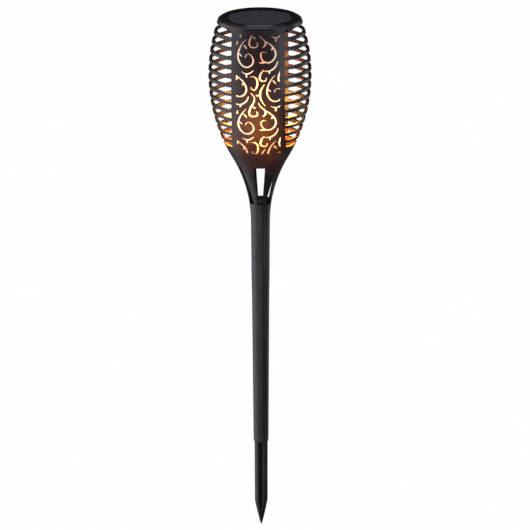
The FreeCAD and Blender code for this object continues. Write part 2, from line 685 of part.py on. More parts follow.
def make_torch_shade(doc):
    """Neck, funnel, bowl, straps with scrolls, ring slats and rim, in one moulding."""
    size = read_sizes(doc)
    shape = shade_shell(size, level(doc, SHADE_BORE))
    shape = shape.cut(side_windows(size) + funnel_slots(size) + bayonet_notches(size))
    shape = shape.cut(scroll_cutters(size))
    shape = shape.fuse([neck_emblem(size)] + stop_ribs(size))
    shade = doc.addObject("Part::Feature", "torch_shade")
    shade.Label = "torch_shade"
    shade.Shape = shape.Solids[0] if len(shape.Solids) == 1 else shape
    shade.Placement.Base.z = level(doc, SEAM)
    return shade


# Light unit


def make_cap_gasket(doc):
    """O-ring between the bayonet shelf and the cap's flange."""
    ring = doc.addObject("Part::Torus", "cap_gasket")
    ring.Label = "cap_gasket"
    ring.setExpression("Radius1", "Sizes.GasketRadius")
    ring.setExpression("Radius2", "Sizes.GasketSection / 2")
    ring.setExpression("Placement.Base.z", f"{SHELF_TOP} + Sizes.GasketGap + Sizes.GasketSection / 2")
    return ring


def make_cap_ring(doc):
    """Cap with the panel's seat, the skirt, three bayonet lugs and three screw bosses."""
    body = new_body(doc, "cap_ring", MODULE)
    skirt_bore = "(Sizes.SkirtRadius - Sizes.SkirtWall)"
    turn_outline(
        body,
        (
            ("Sizes.WireHoleRadius", PLATE_UNDER),
            (skirt_bore, PLATE_UNDER),
            (skirt_bore, "-Sizes.SkirtDepth"),
            ("Sizes.SkirtRadius", "-Sizes.SkirtDepth"),
            ("Sizes.SkirtRadius", "0"),
            (CAP_RADIUS, "0"),
            (CAP_RADIUS, "Sizes.CapEdge"),
            ("Sizes.CrestOuterRadius", "Sizes.CapCrest"),
            ("Sizes.CrestInnerRadius", "Sizes.CapCrest"),
            ("Sizes.PanelSeatRadius", "Sizes.BevelHeight"),
            ("Sizes.PanelSeatRadius", "0"),
            ("Sizes.WireHoleRadius", "0"),
        ),
    )
    lug_top = "(-(Sizes.GasketSection + 2 * Sizes.GasketGap + Sizes.ShelfThickness + Sizes.LugGap))"
    lug_root = "(Sizes.SkirtRadius - Sizes.SkirtWall / 2)"
    lug = place_sketch(body, "lug", "XY_Plane", f"{lug_top} - Sizes.LugThickness")
    half = "(Sizes.LugWidth / 2)"
    draw_outline(
        lug,
        ((f"-{half}", lug_root), (half, lug_root), (half, "Sizes.LugReach"), (f"-{half}", "Sizes.LugReach")),
    )
    lug_pad = raise_pad(body, lug, "Sizes.LugThickness", "lug_pad")
    repeat_round(body, lug_pad, "3")
    boss = place_sketch(body, "boss", "XY_Plane", CORE_TOP)
    draw_circle(boss, "Sizes.BossReach", "0", "Sizes.BossOuter")
    draw_circle(boss, "Sizes.BossReach", "0", SCREW_HOLE)
    boss_pad = raise_pad(body, boss, "Sizes.BossDepth", "boss_pad")
    repeat_round(body, boss_pad, "Sizes.ScrewCount")
    return body


def make_panel_board(doc):
    """Round board that carries the solar cells."""
    board = doc.addObject("Part::Cylinder", "panel_board")
    board.Label = "panel_board"
    board.setExpression("Radius", "Sizes.PanelSeatRadius - Sizes.PanelGap")
    board.setExpression("Height", "Sizes.PanelThickness")
    board.setExpression("Placement.Base.z", MODULE)
    return board


def make_feature(doc, label, shape, base=None, turn=0):
    """A sub-part whose shape code makes, in a frame at the level base."""
    feature = doc.addObject("Part::Feature", label)
    feature.Label = label
    feature.Shape = shape
    height = level(doc, base) if base else 0
    feature.Placement = FreeCAD.Placement(Vector(0, 0, height), FreeCAD.Rotation(UP, turn))
    return feature


def make_solar_cells(doc):
    """Two half-round cells with a gap between them."""
    size = read_sizes(doc)
    disc = Part.makeCylinder(size.CellRadius, size.CellThickness, Vector(0, 0, size.PanelThickness))
    corner = Vector(-size.CellRadius, -size.CellGap / 2, 0)
    gap = Part.makeBox(2 * size.CellRadius, size.CellGap, size.CapCrest, corner)
    halves = Part.makeCompound(disc.cut(gap).Solids)
    return make_feature(doc, "solar_cells", halves, MODULE, size.PanelTurn)


def make_cell_ribbons(doc):
    """A pair of silver ribbons near the front and the back of the panel."""
    size = read_sizes(doc)
    top = size.PanelThickness + size.CellThickness
    ribbons = []
    for left in (-size.RibbonSplit / 2 - size.RibbonLength, size.RibbonSplit / 2):
        for middle in (-size.RibbonOffset, size.RibbonOffset):
            corner = Vector(left, middle - size.RibbonWidth / 2, top)
            ribbons.append(Part.makeBox(size.RibbonLength, size.RibbonWidth, size.RibbonThickness, corner))
    return make_feature(doc, "cell_ribbons", Part.makeCompound(ribbons), MODULE, size.PanelTurn)


def make_light_diffuser(doc):
    """Frosted tube round the LEDs, from the cap's plate to the end cap."""
    body = new_body(doc, "light_diffuser", MODULE)
    turn_outline(
        body,
        (
            (DIFFUSER_BORE, DIFFUSER_FOOT),
            ("Sizes.DiffuserRadius", DIFFUSER_FOOT),
            ("Sizes.DiffuserRadius", PLATE_UNDER),
            (DIFFUSER_BORE, PLATE_UNDER),
        ),
    )
    return body


def make_core_tube(doc):
    """Spool that the LED board wraps round, with a screwed flange at each end."""
    body = new_body(doc, "core_tube", MODULE)
    upper = f"({CORE_TOP} - Sizes.CoreFlange)"
    lower = f"({CORE_FOOT} + Sizes.CoreFlange)"
    turn_outline(
        body,
        (
            (CORE_BORE, CORE_FOOT),
            (FLANGE_RADIUS, CORE_FOOT),
            (FLANGE_RADIUS, lower),
            ("Sizes.CoreRadius", lower),
            ("Sizes.CoreRadius", upper),
            (FLANGE_RADIUS, upper),
            (FLANGE_RADIUS, CORE_TOP),
            (CORE_BORE, CORE_TOP),
        ),
    )
    holes = place_sketch(body, "screw_hole", "XY_Plane", CORE_FOOT)
    draw_circle(holes, "Sizes.BossReach", "0", SCREW_HOLE)
    hole = sink_pocket(body, holes, "Sizes.CoreLength", "screw_hole_cut")
    repeat_round(body, hole, "Sizes.ScrewCount")
    return body


def make_led_flex(doc):
    """Flexible board wrapped round the core."""
    body = new_body(doc, "led_flex", MODULE)
    inner = "(Sizes.CoreRadius + Sizes.ScrewGap)"
    outer = f"({inner} + Sizes.FlexThickness)"
    foot = f"({FLEX_TOP} - Sizes.FlexLength)"
    turn_outline(body, ((inner, foot), (outer, foot), (outer, FLEX_TOP), (inner, FLEX_TOP)))
    return body


def make_led_chips(doc):
    """Rings of LEDs on the flexible board."""
    size = read_sizes(doc)
    face = size.CoreRadius + size.ScrewGap + size.FlexThickness
    # A flat LED on a round board touches it at its middle and clears it at its edges.
    first = level(doc, FLEX_TOP) - size.LedStart
    chips = []
    for row in range(int(size.LedRows)):
        for column in range(int(size.LedColumns)):
            corner = Vector(face, -size.LedWidth / 2, first - row * size.LedPitch - size.LedHeight / 2)
            chip = Part.makeBox(size.LedDepth, size.LedWidth, size.LedHeight, corner)
            chip.rotate(NOWHERE, UP, (column + 0.5) * 360 / size.LedColumns)
            chips.append(chip)
    return make_feature(doc, "led_chips", Part.makeCompound(chips), MODULE)


def make_end_cap(doc):
    """Lower end of the light unit: disc, spigot, screw bosses and the switch's seat."""
    body = new_body(doc, "end_cap", MODULE)
    seat = "(Sizes.SwitchRadius + Sizes.SlipGap)"
    spigot = f"({CORE_BORE} - Sizes.SlipGap)"
    spigot_top = f"({DIFFUSER_FOOT} + Sizes.SpigotHeight)"
    turn_outline(
        body,
        (
            (seat, END_UNDER),
            ("Sizes.EndDiscRadius", END_UNDER),
            ("Sizes.EndDiscRadius", DIFFUSER_FOOT),
            (spigot, DIFFUSER_FOOT),
            (spigot, spigot_top),
            (f"{spigot} - Sizes.SpigotWall", spigot_top),
            (f"{spigot} - Sizes.SpigotWall", DIFFUSER_FOOT),
            (seat, DIFFUSER_FOOT),
        ),
    )
    boss = place_sketch(body, "end_boss", "XY_Plane", DIFFUSER_FOOT)
    draw_circle(boss, "Sizes.BossReach", "0", "Sizes.BossOuter")
    boss_pad = raise_pad(body, boss, f"{CORE_FOOT} - {DIFFUSER_FOOT}", "end_boss_pad")
    repeat_round(body, boss_pad, "Sizes.ScrewCount")
    holes = place_sketch(body, "end_hole", "XY_Plane", END_UNDER)
    draw_circle(holes, "Sizes.BossReach", "0", SCREW_HOLE)
    hole = sink_pocket(body, holes, f"{CORE_FOOT} - {END_UNDER}", "end_hole_cut")
    repeat_round(body, hole, "Sizes.ScrewCount")
    return body


def screw(size, shank):
    """A pan-head screw with its shank up and a cross recess in its head."""
    parts = Part.makeCylinder(size.ScrewRadius, shank).fuse(
        Part.makeCylinder(size.ScrewHeadRadius, size.ScrewHeadHeight, Vector(0, 0, -size.ScrewHeadHeight))
    )
    recess = []
    for long, wide in ((size.DriveLength, size.DriveWidth), (size.DriveWidth, size.DriveLength)):
        corner = Vector(-long / 2, -wide / 2, -size.ScrewHeadHeight)
        recess.append(Part.makeBox(long, wide, size.DriveDepth, corner))
    return parts.cut(recess).Solids[0]


def screw_ring(size, shank, seat):
    """The screws of one ring, with the undersides of their heads' seats at the height seat."""
    screws = []
    for index in range(int(size.ScrewCount)):
        piece = screw(size, shank)
        piece.translate(Vector(size.BossReach, 0, seat))
        piece.rotate(NOWHERE, UP, index * 360 / size.ScrewCount)
        screws.append(piece)
    return Part.makeCompound(screws)


def make_core_screws(doc):
    """Screws that hold the core to the cap."""
    size = read_sizes(doc)
    seat = level(doc, f"{CORE_TOP} - Sizes.CoreFlange")
    return make_feature(doc, "core_screws", screw_ring(size, size.ScrewLength, seat), MODULE)


def make_end_screws(doc):
    """Screws that hold the end cap to the core."""
    size = read_sizes(doc)
    seat = level(doc, END_UNDER)
    return make_feature(doc, "end_screws", screw_ring(size, size.EndScrewLength, seat), MODULE)


def make_switch_body(doc):
    """Push switch in the end cap, with a bore for its button."""
    body = new_body(doc, "switch_body", MODULE)
    bore_top = f"({BEZEL_UNDER} - Sizes.ButtonStand + Sizes.ButtonLength + Sizes.ButtonTravel + Sizes.SlipGap)"
    turn_outline(
        body,
        (
            (BUTTON_BORE, END_UNDER),
            ("Sizes.SwitchRadius", END_UNDER),
            ("Sizes.SwitchRadius", SWITCH_TOP),
            ("0", SWITCH_TOP),
            ("0", bore_top),
            (BUTTON_BORE, bore_top),
        ),
    )
    return body


def make_switch_bezel(doc):
    """Ring that clamps the switch to the end cap."""
    body = new_body(doc, "switch_bezel", MODULE)
    turn_outline(
        body,
        (
            (BUTTON_BORE, BEZEL_UNDER),
            ("Sizes.BezelRadius - Sizes.BezelHeight / 2", BEZEL_UNDER),
            ("Sizes.BezelRadius", f"{BEZEL_UNDER} + Sizes.BezelHeight / 2"),
            ("Sizes.BezelRadius", END_UNDER),
            (BUTTON_BORE, END_UNDER),
        ),
    )
    return body


def make_switch_button(doc):
    """Button that presses up into the switch."""
    body = new_body(doc, "switch_button", MODULE)
    foot = f"({BEZEL_UNDER} - Sizes.ButtonStand)"
    chamfer = "(Sizes.ButtonStand / 4)"
    turn_outline(
        body,
        (
            ("0", foot),
            (f"Sizes.ButtonRadius - {chamfer}", foot),
            ("Sizes.ButtonRadius", f"{foot} + {chamfer}"),
            ("Sizes.ButtonRadius", f"{foot} + Sizes.ButtonLength"),
            ("0", f"{foot} + Sizes.ButtonLength"),
        ),
    )
    return body


def make_battery_cell(doc):
    """Rechargeable cell with its positive cap up."""
    body = new_body(doc, "battery_cell", MODULE)
    shoulder = f"({CELL_TOP} - Sizes.BatteryCap)"
    turn_outline(
        body,
        (
            ("0", CELL_FOOT),
            ("Sizes.BatteryRadius", CELL_FOOT),
            ("Sizes.BatteryRadius", shoulder),
            ("Sizes.BatteryCapRadius", shoulder),
            ("Sizes.BatteryCapRadius", CELL_TOP),
            ("0", CELL_TOP),
        ),
    )
    return body


def make_battery_holder(doc):
    """Trough with an end disc above and below the cell."""
    body = new_body(doc, "battery_holder", MODULE)
    bore = "(Sizes.BatteryRadius + Sizes.SlipGap)"
    outer = f"({bore} + Sizes.HolderWall)"
    disc = f"({CORE_BORE} - Sizes.SlipGap)"
    under_top = f"({HOLDER_TOP} - Sizes.HolderDisc)"
    above_foot = f"({HOLDER_FOOT} + Sizes.HolderDisc)"
    turn_outline(
        body,
        (
            ("0", HOLDER_FOOT),
            (disc, HOLDER_FOOT),
            (disc, above_foot),
            (outer, above_foot),
            (outer, under_top),
            (disc, under_top),
            (disc, HOLDER_TOP),
            ("0", HOLDER_TOP),
            ("0", under_top),
            (bore, under_top),
            (bore, above_foot),
            ("0", above_foot),
        ),
    )
    # The trough is open towards the front, so that the cell can be put in.
    opening = place_sketch(body, "trough_opening", "XY_Plane", above_foot)
    draw_outline(opening, ((f"-{disc}", "0"), (f"-{disc}", f"-{disc}"), (disc, f"-{disc}"), (disc, "0")))
    sink_pocket(body, opening, f"{under_top} - {above_foot}", "trough_cut")
    # Notches at the back and the front pass the leads.
    half = "(Sizes.NotchWidth / 2)"
    inner = "(Sizes.WireLane - 2 * Sizes.WireRadius)"
    notch = place_sketch(body, "lead_notch", "XY_Plane", HOLDER_FOOT)
    draw_outline(notch, ((f"-{half}", inner), (half, inner), (half, disc), (f"-{half}", disc)))
    cut = sink_pocket(body, notch, f"{HOLDER_TOP} - {HOLDER_FOOT}", "lead_notch_cut")
    repeat_round(body, cut, "2")
    return body


def make_contact_plates(doc):
    """Spring contacts at both ends of the cell."""
    size = read_sizes(doc)
    upper = Part.makeCylinder(size.ContactRadius, size.ContactThickness, Vector(0, 0, level(doc, CELL_TOP)))
    foot = Vector(0, 0, level(doc, CELL_FOOT) - size.ContactThickness)
    lower = Part.makeCylinder(size.ContactRadius, size.ContactThickness, foot)
    return make_feature(doc, "contact_plates", Part.makeCompound([upper, lower]), MODULE)


def make_control_board(doc):
    """Round circuit board on top of the core."""
    board = doc.addObject("Part::Cylinder", "control_board")
    board.Label = "control_board"
    board.setExpression("Radius", "Sizes.BoardRadius")
    board.setExpression("Height", "Sizes.BoardThickness")
    board.setExpression("Placement.Base.z", f"{MODULE} + {CORE_TOP}")
    return board


def make_board_chips(doc):
    """Controller, coil, capacitor and two lead sockets on the circuit board."""
    top = level(doc, BOARD_TOP)
    controller = Part.makeBox(6, 5, 1.6, Vector(4.5, -8.5, top))
    coil = Part.makeCylinder(3, 2.8, Vector(-8, -7, top))
    capacitor = Part.makeCylinder(2.5, 4.2, Vector(-8.5, 5.5, top))
    sockets = [Part.makeBox(7, 4, 3.6, Vector(x, 8.5, top)) for x in (-3.5, 5.5)]
    chips = Part.makeCompound([controller, coil, capacitor, *sockets])
    return make_feature(doc, "board_chips", chips, MODULE)


def straight_leads(size, spots, top, foot):
    """Leads that run straight down from top to foot."""
    return [Part.makeCylinder(size.WireRadius, top - foot, Vector(x, y, foot)) for x, y in spots]


def make_panel_leads(doc):
    """Leads from the solar panel to the circuit board."""
    size = read_sizes(doc)
    half = size.WireSpread / 2
    leads = straight_leads(size, ((-half, 0), (half, 0)), 0, level(doc, BOARD_TOP))
    return make_feature(doc, "panel_leads", Part.makeCompound(leads), MODULE)


def make_battery_leads(doc):
    """Leads from the circuit board to the holder's upper and lower discs."""
    size = read_sizes(doc)
    top = level(doc, CORE_TOP)
    upper = straight_leads(size, ((0, -size.BatteryRadius),), top, level(doc, HOLDER_TOP))
    notch = (size.NotchWidth / 2 - size.WireSpread / 2, -size.WireLane)
    lower = straight_leads(size, (notch,), top, level(doc, HOLDER_FOOT))
    return make_feature(doc, "battery_leads", Part.makeCompound(upper + lower), MODULE)


def routed_lead(size, points, bend_radius):
    """A lead along straight runs that are joined by tangent arcs."""
    edges = []
    start = points[0]
    for corner, after in zip(points[1:-1], points[2:]):
        before = (corner - start).normalize()
        onward = (after - corner).normalize()
        turn = before.getAngle(onward)
        trim = bend_radius * math.tan(turn / 2)
        leave = corner - before * trim
        arrive = corner + onward * trim
        inward = (onward - before).normalize()
        middle = corner + inward * bend_radius * (1 / math.cos(turn / 2) - 1)
        edges.append(Part.makeLine(start, leave))
        edges.append(Part.Arc(leave, middle, arrive).toShape())
        start = arrive
    edges.append(Part.makeLine(start, points[-1]))
    path = Part.Wire(edges)
    ring = Part.Wire(Part.makeCircle(size.WireRadius, points[0], points[1] - points[0]))
    return path.makePipeShell([ring], True, False)


def make_switch_leads(doc):
    """Leads from the circuit board down the core to the switch."""
    size = read_sizes(doc)
    top = level(doc, CORE_TOP)
    foot = level(doc, SWITCH_TOP)
    holder_foot = level(doc, HOLDER_FOOT)
    bend_radius = 5 * size.WireRadius
    leads = []
    for across in (-size.WireSpread / 2, size.WireSpread / 2):
        drop = (holder_foot - foot) / 3
        points = [
            Vector(across, size.WireLane, top),
            Vector(across, size.WireLane, holder_foot - drop),
            Vector(across, size.SwitchRadius / 2, foot + drop),
            Vector(across, size.SwitchRadius / 2, foot),
        ]
        leads.append(routed_lead(size, points, bend_radius))
    return make_feature(doc, "switch_leads", Part.makeCompound(leads), MODULE)


MAKERS = (
    make_ground_spike,
    make_pole_tube,
    make_torch_shade,
    make_cap_gasket,
    make_cap_ring,
    make_panel_board,
    make_solar_cells,
    make_cell_ribbons,
    make_light_diffuser,
    make_core_tube,
    make_led_flex,
    make_led_chips,
    make_end_cap,
    make_core_screws,
    make_end_screws,
    make_switch_body,
    make_switch_bezel,
    make_switch_button,
    make_battery_cell,
    make_battery_holder,
    make_contact_plates,
    make_control_board,
    make_board_chips,
    make_panel_leads,
    make_battery_leads,
    make_switch_leads,
)


def check_document(doc, parts):
    """Raises an error if any object failed or any sub-part has no valid shape."""
    for item in doc.Objects:
        if "Invalid" in item.State or "Error" in item.State:
            raise RuntimeError(f"{item.Name} failed: {item.State}")
    for item in parts:
        if item.Shape.isNull() or not item.Shape.isValid() or not item.Shape.Solids:
            raise RuntimeError(f"{item.Label} has no valid solid")


def main():
    doc = FreeCAD.newDocument("torch_light")
    make_sheet(doc)
    parts = [make(doc) for make in MAKERS]
    doc.recompute()
    check_document(doc, parts)
    os.makedirs("parts", exist_ok=True)
    for item in parts:
        item.Shape.exportStep(f"parts/{item.Label}.step")


main()
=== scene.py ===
"""Looks of the solar flame torch light: materials, lit flame unit, studio and camera."""

import json
import math

import bpy
from mathutils import Matrix, Vector

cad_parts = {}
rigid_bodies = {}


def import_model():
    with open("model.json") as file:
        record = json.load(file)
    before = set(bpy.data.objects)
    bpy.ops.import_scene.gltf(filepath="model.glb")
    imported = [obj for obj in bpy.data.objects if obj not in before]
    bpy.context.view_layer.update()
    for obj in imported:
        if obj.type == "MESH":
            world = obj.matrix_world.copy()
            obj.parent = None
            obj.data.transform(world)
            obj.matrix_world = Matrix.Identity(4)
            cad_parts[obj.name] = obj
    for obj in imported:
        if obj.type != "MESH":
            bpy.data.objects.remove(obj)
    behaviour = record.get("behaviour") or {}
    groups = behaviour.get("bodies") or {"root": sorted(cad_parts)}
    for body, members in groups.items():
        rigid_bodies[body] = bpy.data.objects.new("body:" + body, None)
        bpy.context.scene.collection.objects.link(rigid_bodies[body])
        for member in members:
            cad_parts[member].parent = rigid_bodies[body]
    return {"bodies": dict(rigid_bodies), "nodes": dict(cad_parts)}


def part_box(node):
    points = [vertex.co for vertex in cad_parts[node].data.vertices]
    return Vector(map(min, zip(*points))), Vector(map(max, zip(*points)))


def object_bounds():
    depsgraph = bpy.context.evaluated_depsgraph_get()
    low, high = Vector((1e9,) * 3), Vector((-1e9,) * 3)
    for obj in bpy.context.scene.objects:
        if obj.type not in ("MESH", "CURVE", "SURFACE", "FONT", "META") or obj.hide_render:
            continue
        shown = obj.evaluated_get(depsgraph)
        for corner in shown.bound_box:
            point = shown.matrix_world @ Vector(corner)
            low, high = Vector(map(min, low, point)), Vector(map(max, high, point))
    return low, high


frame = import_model()
cad_low, cad_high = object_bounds()
nodes = frame["nodes"]
scene = bpy.context.scene

# Colours are linear RGB.
BLACK_ABS = (0.0160, 0.0138, 0.0172)
BLACK_GLOSS = (0.0040, 0.0038, 0.0060)
BLACK_RUBBER = (0.0110, 0.0110, 0.0115)
ABS_LIGHT = (0.0215, 0.0178, 0.0235)
# The photograph's view: degrees, and metres.
VIEW_AZIMUTH = 2.5
VIEW_ELEVATION = 14.7
VIEW_ROLL = -0.17
VIEW_DISTANCE = 20.0
VIEW_WIDTH = 0.597
FLOOR_RADIUS = 6.0


# Camera


def aim_camera(azimuth, elevation, distance, target, width):
    """A long lens that looks at a target and takes in a given width there."""
    data = bpy.data.cameras.new("camera")
    data.sensor_width = 36
    data.lens = data.sensor_width * distance / width
    data.clip_end = 60
    camera = bpy.data.objects.new("camera", data)
    scene.collection.objects.link(camera)
    turn, rise = math.radians(azimuth), math.radians(elevation)
    back = Vector(
        (math.sin(turn) * math.cos(rise), -math.cos(turn) * math.cos(rise), math.sin(rise))
    )
    camera.location = target + back * distance
    facing = back.to_track_quat("Z", "Y").to_matrix().to_4x4()
    roll = Matrix.Rotation(math.radians(VIEW_ROLL), 4, "Z")
    camera.matrix_world = Matrix.Translation(camera.location) @ facing @ roll
    scene.camera = camera


middle = (cad_low + cad_high) / 2
view_target = Vector((0.005, 0, middle.z + 0.0066))
aim_camera(VIEW_AZIMUTH, VIEW_ELEVATION, VIEW_DISTANCE, view_target, VIEW_WIDTH)


# Material helpers


def new_material(name):
    """A node material with its Principled shader."""
    material = bpy.data.materials.new(name)
    material.use_nodes = True
    return material, material.node_tree, material.node_tree.nodes["Principled BSDF"]


def add(tree, kind, **inputs):
    """A new node with values or links for its inputs, by input name or number."""
    node = tree.nodes.new(kind)
    for key, value in inputs.items():
        socket = node.inputs[int(key[1:]) if key.startswith("_") else key.replace("_", " ")]
        if isinstance(value, bpy.types.NodeSocket):
            tree.links.new(value, socket)
        else:
            socket.default_value = value
    return node


def math_node(tree, operation, first, second=0.0, third=0.0):
    node = add(tree, "ShaderNodeMath", _0=first, _1=second, _2=third)
    node.operation = operation
    return node.outputs[0]


def ramp(tree, fac, stops, mode="LINEAR"):
    """A colour ramp with (position, colour) stops."""
    node = add(tree, "ShaderNodeValToRGB", Fac=fac)
    node.color_ramp.interpolation = mode
    elements = node.color_ramp.elements
    while len(elements) < len(stops):
        elements.new(0.5)
    for element, (position, colour) in zip(elements, stops):
        element.position = position
        element.color = (*colour, 1)
    return node.outputs["Color"]


def place(tree):
    """Object coordinates, in metres, as a vector and as its three parts."""
    vector = tree.nodes.new("ShaderNodeTexCoord").outputs["Object"]
    parts = add(tree, "ShaderNodeSeparateXYZ", Vector=vector)
    return vector, parts.outputs[0], parts.outputs[1], parts.outputs[2]


def noise(tree, vector, scale, detail=2.0, roughness=0.5):
    return add(
        tree, "ShaderNodeTexNoise", Vector=vector, Scale=scale, Detail=detail, Roughness=roughness
    ).outputs["Fac"]


def spread(tree, value, low, high, out_low, out_high):
    """Maps a range of a value to another range."""
    return add(
        tree, "ShaderNodeMapRange", Value=value, _1=low, _2=high, _3=out_low, _4=out_high
    ).outputs["Result"]


def mix_colours(tree, fac, first, second, blend="MIX"):
    node = tree.nodes.new("ShaderNodeMix")
    node.data_type = "RGBA"
    node.blend_type = blend
    sockets = (node.inputs[0], node.inputs[6], node.inputs[7])
    for socket, value in zip(sockets, (fac, first, second)):
        if isinstance(value, bpy.types.NodeSocket):
            tree.links.new(value, socket)
        else:
            socket.default_value = value if isinstance(value, float) else (*value, 1)
    return node.outputs[2]


def bump(tree, height, distance, strength=1.0, normal=None):
    node = add(tree, "ShaderNodeBump", Height=height, Distance=distance, Strength=strength)
    if normal is not None:
        tree.links.new(normal, node.inputs["Normal"])
    return node.outputs["Normal"]


def moulded(name, base, light, roughness, grain=0.00003, grain_scale=2600.0, edge_highlight=0.35):
    """Moulded plastic: spark-textured skin, faint flow clouds, dust, and a painted highlight along
    convex edges.
    """
    material, tree, shader = new_material(name)
    vector, _, _, _ = place(tree)
    clouds = noise(tree, vector, 38.0, 3.0)
    dust = noise(tree, vector, 420.0, 4.0, 0.65)
    skin = noise(tree, vector, grain_scale, 2.0)
    tone = mix_colours(tree, spread(tree, clouds, 0.3, 0.7, 0.0, 0.5), base, light)
    specks = spread(tree, dust, 0.62, 0.8, 0.0, 0.35)
    tone = mix_colours(tree, specks, tone, tuple(4 * part for part in light))
    tree.links.new(painted_edge_highlight(tree, tone, light, edge_highlight), shader.inputs["Base Color"])
    rough = math_node(tree, "ADD", spread(tree, clouds, 0.3, 0.7, -0.05, 0.05), roughness)
    rough = math_node(tree, "ADD", rough, spread(tree, specks, 0.0, 0.35, 0.0, 0.12))
    tree.links.new(rough, shader.inputs["Roughness"])
    tree.links.new(bump(tree, skin, grain), shader.inputs["Normal"])
    shader.inputs["IOR"].default_value = 1.53
    return material


def painted_edge_highlight(tree, tone, light, edge_highlight):
    """Painted highlight: slightly paler plastic along convex edges."""
    bend = tree.nodes.new("ShaderNodeNewGeometry").outputs["Pointiness"]
    # Painted highlight on convex edges, found from pointiness.
    mask = spread(tree, bend, 0.52, 0.62, 0.0, edge_highlight)
    return mix_colours(tree, mask, tone, tuple(3 * part for part in light))


def finish(node, material):
    """Puts a material on every slot of a CAD node."""
    mesh_object = nodes[node]
    for slot in mesh_object.material_slots:
        slot.material = material


# Plastics of the torch

flame_low, flame_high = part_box("light_diffuser")


def shade_with_painted_glow():
    """The shade's plastic, with a painted glow: faint orange emission on the straps at the flame's
    height, which stays when the flame unit is lifted out.
    """
    material = moulded("shade_black_painted_glow", BLACK_ABS, ABS_LIGHT, 0.40)
    tree = material.node_tree
    shader = tree.nodes["Principled BSDF"]
    vector, across, _, up = place(tree)
    height = spread(tree, up, flame_low.z, flame_high.z, 0.0, 1.0)
    sway = spread(tree, noise(tree, vector, 55.0, 2.0), 0.3, 0.7, -0.06, 0.06)
    # Painted glow: orange emission colour, strongest a quarter of the way up the flame and fading
    # towards the top.
    glow = ramp(
        tree,
        math_node(tree, "ADD", height, sway),
        (
            (0.00, (0.040, 0.011, 0.007)),
            (0.10, (0.150, 0.034, 0.007)),
            (0.26, (0.230, 0.055, 0.009)),
            (0.42, (0.085, 0.018, 0.006)),
            (0.66, (0.022, 0.005, 0.004)),
            (0.92, (0.003, 0.001, 0.001)),
        ),
    )
    reach = flame_high.x * 1.12
    share = math_node(tree, "DIVIDE", math_node(tree, "ABSOLUTE", across), reach)
    fade_across = spread(tree, share, 0.25, 1.05, 1.0, 0.0)
    fade_down = spread(tree, up, flame_low.z - 0.030, flame_low.z - 0.004, 0.0, 1.0)
    mask = math_node(tree, "MULTIPLY", fade_across, fade_down)
    # The painted glow fades towards the straps' edges and below the flame.
    tree.links.new(mix_colours(tree, 1.0, glow, mask, "MULTIPLY"), shader.inputs["Emission Color"])
    shader.inputs["Emission Strength"].default_value = 1.0
    return material


finish("torch_shade", shade_with_painted_glow())
finish("pole_tube", moulded("pole_black", BLACK_ABS, ABS_LIGHT, 0.40))
dark_plastics = (
    ("end_cap", "end_cap_black", BLACK_ABS, (0.014, 0.013, 0.016), 0.42),
    ("ground_spike", "spike_plastic", (0.0120, 0.0112, 0.0130), (0.018, 0.017, 0.019), 0.46),
    ("cap_ring", "cap_gloss", BLACK_GLOSS, (0.006, 0.006, 0.009), 0.22, 0.000006, 900.0, 0.15),
    ("cap_gasket", "seal_rubber", BLACK_RUBBER, (0.018,) * 3, 0.62, 0.00002, 1500.0),
    ("switch_body", "switch_black", (0.007,) * 3, (0.011,) * 3, 0.30, 0.000008),
    ("switch_bezel", "bezel_black", (0.006,) * 3, (0.010,) * 3, 0.26, 0.000008),
    (
        "switch_button",
        "button_grey",
        (0.055, 0.055, 0.058),
        (0.075, 0.075, 0.078),
        0.42,
        0.00001,
    ),
)
for node, *plastic in dark_plastics:
    finish(node, moulded(*plastic))
white = moulded("core_white", (0.62, 0.61, 0.57), (0.70, 0.69, 0.66), 0.45, 0.000015, 1800.0, 0.0)
finish("core_tube", white)
finish("battery_holder", white)


# Solar panel


def panel_laminate():
    """Dark board under clear resin."""
    material, tree, shader = new_material("panel_laminate")
    vector, _, _, _ = place(tree)
    clouds = noise(tree, vector, 160.0, 3.0)
    tone = mix_colours(tree, clouds, (0.020, 0.020, 0.032), (0.032, 0.032, 0.046))
    tree.links.new(tone, shader.inputs["Base Color"])
    shader.inputs["Roughness"].default_value = 0.35
    shader.inputs["Coat Weight"].default_value = 0.6
    shader.inputs["Coat Roughness"].default_value = 0.12
    return material


def solar_silicon():
    """Blue-grey cells with fine silver fingers across them, crystal tone and clear resin on top."""
    material, tree, shader = new_material("silicon")
    vector, _, _, _ = place(tree)
    turned = add(tree, "ShaderNodeVectorRotate", Vector=vector, Angle=math.radians(-5))
    turned.rotation_type = "Z_AXIS"
    parts = add(tree, "ShaderNodeSeparateXYZ", Vector=turned.outputs[0])
    wave = math_node(tree, "FRACT", math_node(tree, "MULTIPLY", parts.outputs[0], 1 / 0.0017))
    centred = math_node(tree, "ABSOLUTE", math_node(tree, "SUBTRACT", wave, 0.5))
    finger = spread(tree, centred, 0.43, 0.46, 0.0, 0.85)
    crystal = add(tree, "ShaderNodeTexVoronoi", Vector=vector, Scale=190.0).outputs["Color"]
    grey = add(tree, "ShaderNodeRGBToBW", Color=crystal).outputs[0]
    tone = mix_colours(tree, grey, (0.034, 0.034, 0.050), (0.052, 0.051, 0.072))
    tone = mix_colours(tree, finger, tone, (0.19, 0.19, 0.23))
    tree.links.new(tone, shader.inputs["Base Color"])
    tree.links.new(spread(tree, finger, 0.0, 0.85, 0.30, 0.45), shader.inputs["Roughness"])
    ripple = noise(tree, vector, 90.0, 2.0)
    tree.links.new(bump(tree, ripple, 0.0001, 0.5), shader.inputs["Coat Normal"])
    shader.inputs["Coat Weight"].default_value = 0.8
    shader.inputs["Coat Roughness"].default_value = 0.14
    return material


